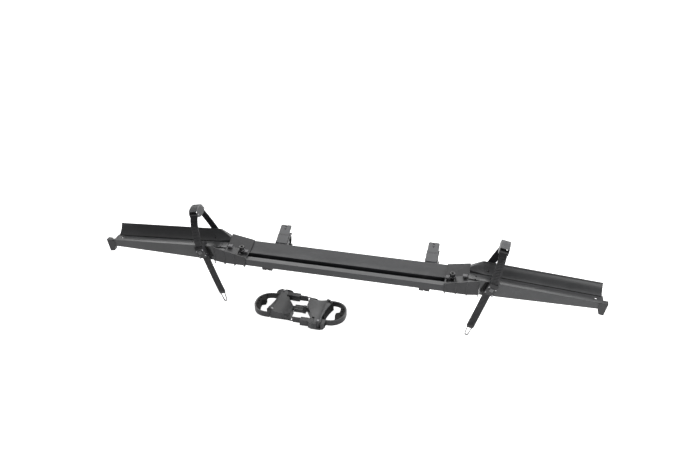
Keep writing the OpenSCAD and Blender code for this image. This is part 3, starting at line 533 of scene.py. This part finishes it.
def block_outline(x: float, y: float, wide: float, deep: float, corner: float = 0.0) -> list[Point2]:
    """A rectangle about a centre, with its corners cut at 45 degrees."""
    a, b, c = wide / 2, deep / 2, corner
    if not c:
        return [(x - a, y - b), (x + a, y - b), (x + a, y + b), (x - a, y + b)]
    return [(x - a + c, y - b), (x + a - c, y - b), (x + a, y - b + c), (x + a, y + b - c),
            (x + a - c, y + b), (x - a + c, y + b), (x - a, y + b - c), (x - a, y - b + c)]


def add_lathe(mesh: bmesh.types.BMesh, profile: Sequence[Point2], at: Matrix, count: int = 36) -> None:
    """Adds a turned piece.

    Args:
        mesh: The mesh that it joins.
        profile: Radius and height from its foot's centre to its top's centre, or closed for a ring.
        at: The place, with the axis along its Z.
        count: Number of steps round it.
    """
    rings = []
    for radius, height in profile:
        if radius < 1e-6:
            rings.append([mesh.verts.new(at @ Vector((0, 0, height)))] * count)
        else:
            rings.append([mesh.verts.new(at @ Vector((radius * math.cos(2 * math.pi * i / count),
                                                      radius * math.sin(2 * math.pi * i / count), height)))
                          for i in range(count)])
    closed = profile[0][0] > 1e-6
    pairs = list(zip(rings, rings[1:])) + ([(rings[-1], rings[0])] if closed else [])
    for low, high in pairs:
        for i in range(count):
            j = (i + 1) % count
            corners = list(dict.fromkeys((low[i], low[j], high[j], high[i])))
            if len(corners) > 2:
                mesh.faces.new(corners)


# ---- sub-assemblies ----------------------------------------------------------------------------------


@dataclass
class ChannelRun:
    """The extruded centre channel and the hardware that fixes the arms under it."""

    shop: Workshop

    def dress(self) -> None:
        """Anodised black extrusion with zinc-plated bolts."""
        self.shop.dress(ANODISED, "centre_channel")
        self.shop.dress(ZINC, "arm_bolts", "arm_nut_plates", "tray_screws")
        self.shop.dress(DULL_STEEL, "junction_bolts")
        self.shop.dress(BLACK_STEEL, "sleeve_clamp_bolts")

    def build(self) -> None:
        """Nothing is added to the channel."""


@dataclass
class Junction:
    """One moulded sleeve between the channel and a tray."""

    shop: Workshop
    side: Side

    def dress(self) -> None:
        """Black moulding."""
        self.shop.dress(MOULDED, f"{self.side.word}_junction_sleeve")

    def build(self) -> None:
        """Plated washers under the heads of the sleeve's clamp bolt."""
        washer = bmesh.new()
        add_lathe(washer, [(7.3, 25.4), (7.95, 25.4), (7.95, 27.0), (7.3, 27.0)], spot(BOLT_AT))
        self.shop.keep(f"{self.side.word}_bolt_washer", washer, ZINC, "tray_body", self.side, 0.15)
        rims = bmesh.new()
        add_lathe(rims, [(4.2, 35.3), (7.0, 35.3), (6.4, 36.1), (4.4, 36.1)], spot(BOLT_AT))
        self.shop.keep(f"{self.side.word}_bolt_rim", rims, BLACK_STEEL, "tray_body", self.side, 0.1)


@dataclass
class EndTray:
    """One sloping wheel tray with its foot."""

    shop: Workshop
    side: Side

    def dress(self) -> None:
        """Satin tray plastic, and a blacker foot."""
        word = self.side.word
        self.shop.dress(TRAY, f"{word}_wheel_tray")
        self.shop.dress(MOULDED, f"{word}_end_foot")

    def build(self) -> None:
        """Nothing is added."""


@dataclass
class ArmClamp:
    """One arm with its saddle, jaw and cam lever."""

    shop: Workshop
    side: Side

    def dress(self) -> None:
        """Powder-coated arm, rubber liners and a grey lever."""
        word = self.side.word
        self.shop.dress(COATED, f"{word}_mount_arm", f"{word}_clamp_jaw")
        self.shop.dress(RUBBER, f"{word}_saddle_liner", f"{word}_jaw_liner")
        self.shop.dress(LEVER, f"{word}_clamp_lever")
        self.shop.dress(ZINC, f"{word}_clamp_pins")

    def build(self) -> None:
        """A broad cover with dark insets on the lever, a thin black shell of painted shade over its rounded
        front end, and domed ends on its pins.
        """
        word = self.side.word
        ride = self.shop.body_of(f"{word}_clamp_lever")
        across = spot((ARM_X, TUBE.y, TUBE.z), (LEVER_RISE, "X"), (90, "Z"), (90, "X"))
        ribs = bmesh.new()
        flat = spot((ARM_X, TUBE.y, TUBE.z), (LEVER_RISE, "X"))
        plate = [(-15.2, -22), (-12.5, -25), (12.5, -25), (15.2, -22), (15.2, 34), (13.0, 36.5), (5.2, 36.5),
                 (0.0, 27.0), (-5.2, 36.5), (-13.0, 36.5), (-15.2, 34)]
        add_prism(ribs, plate, 26.1, 27.9, flat)
        self.shop.keep(f"{word}_lever_cover", ribs, LEVER, ride, self.side, 0.5)
        insets = bmesh.new()
        add_prism(insets, [(-5.0, 36.4), (0.0, 27.2), (5.0, 36.4)], 25.9, 27.0, flat)
        add_prism(insets, [(-4.2, 26.5), (0.0, 18.5), (4.2, 26.5), (0.0, 24.2)], 27.8, 28.0, flat)
        for y in (2.0, 5.0):
            add_prism(insets, block_outline(0.0, y, 25.0, 0.9), 27.8, 28.0, flat)
        self.shop.keep(f"{word}_lever_insets", insets, MOULDED, ride, self.side, 0.0)
        # Painted shade: a 0.4 mm black shell over the lever's rounded front end, standing in for the shade on
        # that end face.
        end_shade_sheet = bmesh.new()
        outer = [(-25.06 + 6.6 * math.cos(math.radians(a)), 17.55 + 6.6 * math.sin(math.radians(a)))
                 for a in range(120, 185, 8)]
        inner = [(-25.06 + 6.2 * math.cos(math.radians(a)), 17.55 + 6.2 * math.sin(math.radians(a)))
                 for a in range(184, 119, -8)]
        add_prism(end_shade_sheet, outer + inner, -12.9, 12.9, across)
        self.shop.keep(f"{word}_lever_cap", end_shade_sheet, MOULDED, ride, self.side, 0.0)
        domes = bmesh.new()
        for end, turn in ((17.0, 90), (-17.0, -90)):
            for y, z in ((-30, 6), (-18, 10)):
                add_lathe(domes, [(0.0, 0.0), (2.9, 0.0), (2.9, 0.5), (2.0, 1.2), (0.0, 1.5)],
                          spot((ARM_X + end, TUBE.y + y, TUBE.z + z), (turn, "Y")), 24)
        self.shop.keep(f"{word}_pin_domes", domes, ZINC, "tray_body", self.side, 0.1)


@dataclass
class StrapLoop:
    """One wheel strap: ladder strap, anchor strap, buckle and lock."""

    shop: Workshop
    side: Side

    def dress(self) -> None:
        """Black straps, grey buckle lever and button."""
        word = self.side.word
        self.shop.dress(STRAP, f"{word}_ladder_strap", f"{word}_anchor_strap")
        self.shop.dress(MOULDED, f"{word}_buckle_frame", f"{word}_strap_lock")
        self.shop.dress(LEVER, f"{word}_buckle_lever", f"{word}_release_button")
        self.shop.dress(ZINC, f"{word}_buckle_pins", f"{word}_lock_pawl")

    def build(self) -> None:
        """Ribs on the button and the buckle lever, and screws on the lock."""
        word = self.side.word
        lock = spot((STRAP_X - 2.4, 0, 17), (LOCK_LEAN, "Y"))
        across = lock @ Matrix.Rotation(math.radians(90), 4, "Z") @ Matrix.Rotation(math.radians(90), 4, "X")
        ribs = bmesh.new()
        for i in range(4):
            z = 9.7 + 2.0 * i
            add_prism(ribs, [(-18.5, z), (-17.7, z - 0.1), (-17.7, z + 0.9), (-18.5, z + 0.8)],
                      -3.8, 3.8, across)
        self.shop.keep(f"{word}_button_ribs", ribs, LEVER, self.shop.body_of(f"{word}_release_button"),
                       self.side, 0.15)
        screws = bmesh.new()
        for x, z in ((-9.2, 0.5), (9.2, 0.5), (-9.2, 17.5), (9.2, 17.5)):
            at = lock @ Matrix.Translation(Vector((x, -15.4, z))) @ Matrix.Rotation(math.radians(90), 4, "X")
            add_lathe(screws, [(0.0, 0.0), (1.7, 0.0), (1.7, 0.4), (1.2, 0.8), (0.7, 0.8), (0.6, 0.35),
                               (0.0, 0.35)], at, 24)
        self.shop.keep(f"{word}_lock_screws", screws, ZINC, "tray_body", self.side, 0.0)
        hoop = spot((STRAP_X, 0, 15), (LOOP_LEAN, "Y"), (90, "Z"), (90, "X"))
        grips = bmesh.new()
        for i in range(7):
            a = math.radians(74 + 6.2 * i)
            along, out = Vector((-math.sin(a), math.cos(a))), Vector((math.cos(a), math.sin(a)))
            mid = Vector((31, 84.5))
            corners = [mid + out * (41.2 + up) + along * side for up, side in
                       ((0.0, -0.8), (0.75, -0.45), (0.75, 0.45), (0.0, 0.8))]
            add_prism(grips, [tuple(c) for c in corners], -9.6, 9.6, hoop)
        self.shop.keep(f"{word}_buckle_grips", grips, LEVER, self.shop.body_of(f"{word}_buckle_lever"),
                       self.side, 0.15)


@dataclass
class FrameCoupler:
    """The loose coupler that joins two bike frames."""

    shop: Workshop

    def dress(self) -> None:
        """Dark grey heads with black straps and rubber seats."""
        for side in Side:
            word = f"coupler_{side.word}"
            self.shop.dress(COUPLER, f"{word}_head", f"{word}_lever")
            self.shop.dress(STRAP, f"{word}_strap")
            self.shop.dress(MOULDED, f"{word}_buckle")
            self.shop.dress(RUBBER, f"{word}_pad", f"{word}_seat")
            self.shop.dress(ZINC, f"{word}_pins")
        self.shop.dress(COUPLER, "coupler_link")

    def build(self) -> None:
        """Rivet heads, and ribs on the finger plates."""
        for side in Side:
            word, turn = f"coupler_{side.word}", 0 if side is Side.RIGHT else 180
            at = spot(COUPLER_AT, (turn, "Z"))
            ride = self.shop.body_of(f"{word}_head")
            rivets = bmesh.new()
            for x, y, z in ((62, -55, 25), (66, 35, 29)):
                add_lathe(rivets, [(0.0, z - 0.3), (3.4, z - 0.3), (3.4, z + 0.4), (2.4, z + 1.1),
                                   (0.0, z + 1.5)], at @ Matrix.Translation(Vector((x, y, 0))), 28)
            self.shop.keep(f"{word}_rivet_heads", rivets, ZINC, ride, Side.RIGHT, 0.0)
            grips = bmesh.new()
            for i in range(6):
                x = 48.0 + 2.0 * i
                add_prism(grips, [(x, -65.3), (x + 1.0, -65.3), (x + 1.2, -64.0), (x - 0.2, -64.0)],
                          5.0, 20.0, at)
            self.shop.keep(f"{word}_lever_grips", grips, COUPLER, self.shop.body_of(f"{word}_lever"),
                           Side.RIGHT, 0.15)


@dataclass
class SharedTrim:
    """Small pieces that both sides share in one node."""

    shop: Workshop

    def dress(self) -> None:
        """Rubber strips and plated screws."""
        self.shop.dress(RUBBER, "rub_strips")
        self.shop.dress(ZINC, "anchor_screws", "pawl_pins")

    def build(self) -> None:
        """Nothing is added to the trim."""


# ---- studio ------------------------------------------------------------------------------------------


@dataclass
class Studio:
    """Camera, lights, floor and surroundings."""

    tilt: float = 31.0055
    turn: float = 13.1152
    place: tuple[float, float, float] = (0.40184, -1.81393, 1.17332)
    lens: float = 41.14
    floor_z: float = -0.0986
    ambient: float = 0.2
    floor_glow: float = 0.42

    def camera(self) -> None:
        """Makes the camera."""
        e, a = math.radians(self.tilt), math.radians(self.turn)
        right = Vector((math.cos(a), math.sin(a), 0))
        back = Vector((math.sin(a) * math.cos(e), -math.cos(a) * math.cos(e), math.sin(e)))
        up = Vector((-math.sin(a) * math.sin(e), math.cos(a) * math.sin(e), math.cos(e)))
        data = bpy.data.cameras.new("camera")
        data.lens = self.lens
        data.sensor_width = 36.0
        data.clip_start, data.clip_end = 0.05, 50.0
        camera = bpy.data.objects.new("camera", data)
        camera.matrix_world = Matrix((
            (right.x, up.x, back.x, self.place[0]), (right.y, up.y, back.y, self.place[1]),
            (right.z, up.z, back.z, self.place[2]), (0, 0, 0, 1)))
        bpy.context.scene.collection.objects.link(camera)
        bpy.context.scene.camera = camera

    def softbox(self, name: str, at: Sequence[float], aim: Sequence[float], wide: float, high: float,
                power: float) -> None:
        """Adds a soft rectangular light.

        Args:
            name: Its name.
            at: Its place in the row frame, in metres.
            aim: The point that it faces.
            wide: Its width in metres.
            high: Its height in metres.
            power: Its power in watts.
        """
        data = bpy.data.lights.new(name, "AREA")
        data.shape = "RECTANGLE"
        data.size, data.size_y, data.energy = wide, high, power
        lamp = bpy.data.objects.new(name, data)
        lamp.location = at
        lamp.rotation_mode = "QUATERNION"
        lamp.rotation_quaternion = (Vector(aim) - Vector(at)).to_track_quat("-Z", "Y")
        bpy.context.scene.collection.objects.link(lamp)

    def lights(self) -> None:
        """One light above, one behind that grazes the tops, and two on the right."""
        self.softbox("overhead", (0.0, 0.35, 1.8), (0.0, 0.0, 0.0), 2.4, 1.2, 17.0)
        self.softbox("behind", (-0.5, 2.2, 1.45), (0.0, 0.0, 0.0), 3.2, 1.0, 34.0)
        self.softbox("low_right", (1.3, -2.1, 0.5), (0.25, -0.1, 0.0), 1.4, 0.8, 16.0)
        self.softbox("right", (2.0, 0.1, 1.3), (0.5, -0.15, 0.0), 1.3, 1.0, 26.0)

    def floor(self) -> None:
        """A plain pale floor."""
        mesh = bmesh.new()
        corners = [mesh.verts.new((x, y, self.floor_z)) for x, y in ((-9, -9), (9, -9), (9, 14), (-9, 14))]
        mesh.faces.new(corners)
        data = bpy.data.meshes.new("studio_floor")
        mesh.to_mesh(data)
        mesh.free()
        floor = bpy.data.objects.new("studio_floor", data)
        bpy.context.scene.collection.objects.link(floor)
        made = bpy.data.materials.new("studio_paper")
        made.use_nodes = True
        shader = made.node_tree.nodes["Principled BSDF"]
        shader.inputs["Base Color"].default_value = (0.92, 0.92, 0.92, 1)
        shader.inputs["Roughness"].default_value = 0.9
        shader.inputs["Specular IOR Level"].default_value = 0.1
        shader.inputs["Emission Color"].default_value = (1, 1, 1, 1)
        path = made.node_tree.nodes.new("ShaderNodeLightPath")
        glow = made.node_tree.nodes.new("ShaderNodeMapRange")
        for place_no, value in ((1, 0.0), (2, 1.0), (3, self.floor_glow), (4, 0.93)):
            glow.inputs[place_no].default_value = value
        made.node_tree.links.new(path.outputs["Is Camera Ray"], glow.inputs[0])
        made.node_tree.links.new(glow.outputs[0], shader.inputs["Emission Strength"])
        data.materials.append(made)

    def surroundings(self) -> None:
        """White to the camera, and a dimmer even light on the object."""
        world = bpy.data.worlds.new("studio_white")
        world.use_nodes = True
        tree = world.node_tree
        light = tree.nodes["Background"]
        light.inputs["Color"].default_value = (1, 1, 1, 1)
        light.inputs["Strength"].default_value = self.ambient
        seen = tree.nodes.new("ShaderNodeBackground")
        seen.inputs["Color"].default_value = (1, 1, 1, 1)
        seen.inputs["Strength"].default_value = 1.0
        path = tree.nodes.new("ShaderNodeLightPath")
        mix = tree.nodes.new("ShaderNodeMixShader")
        tree.links.new(path.outputs["Is Camera Ray"], mix.inputs[0])
        tree.links.new(light.outputs[0], mix.inputs[1])
        tree.links.new(seen.outputs[0], mix.inputs[2])
        tree.links.new(mix.outputs[0], tree.nodes["World Output"].inputs[0])
        bpy.context.scene.world = world
        bpy.context.scene.view_settings.view_transform = "Standard"


def main() -> None:
    """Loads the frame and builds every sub-assembly round it."""
    logging.basicConfig(level=logging.INFO, format="%(message)s")
    studio = Studio()
    studio.camera()
    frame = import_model()
    shop = Workshop(frame)
    assemblies = [ChannelRun(shop), FrameCoupler(shop), SharedTrim(shop)]
    for side in Side:
        assemblies += [Junction(shop, side), EndTray(shop, side), ArmClamp(shop, side), StrapLoop(shop, side)]
    for assembly in assemblies:
        assembly.dress()
        assembly.build()
    studio.lights()
    studio.floor()
    studio.surroundings()


if __name__ == "__main__":
    main()
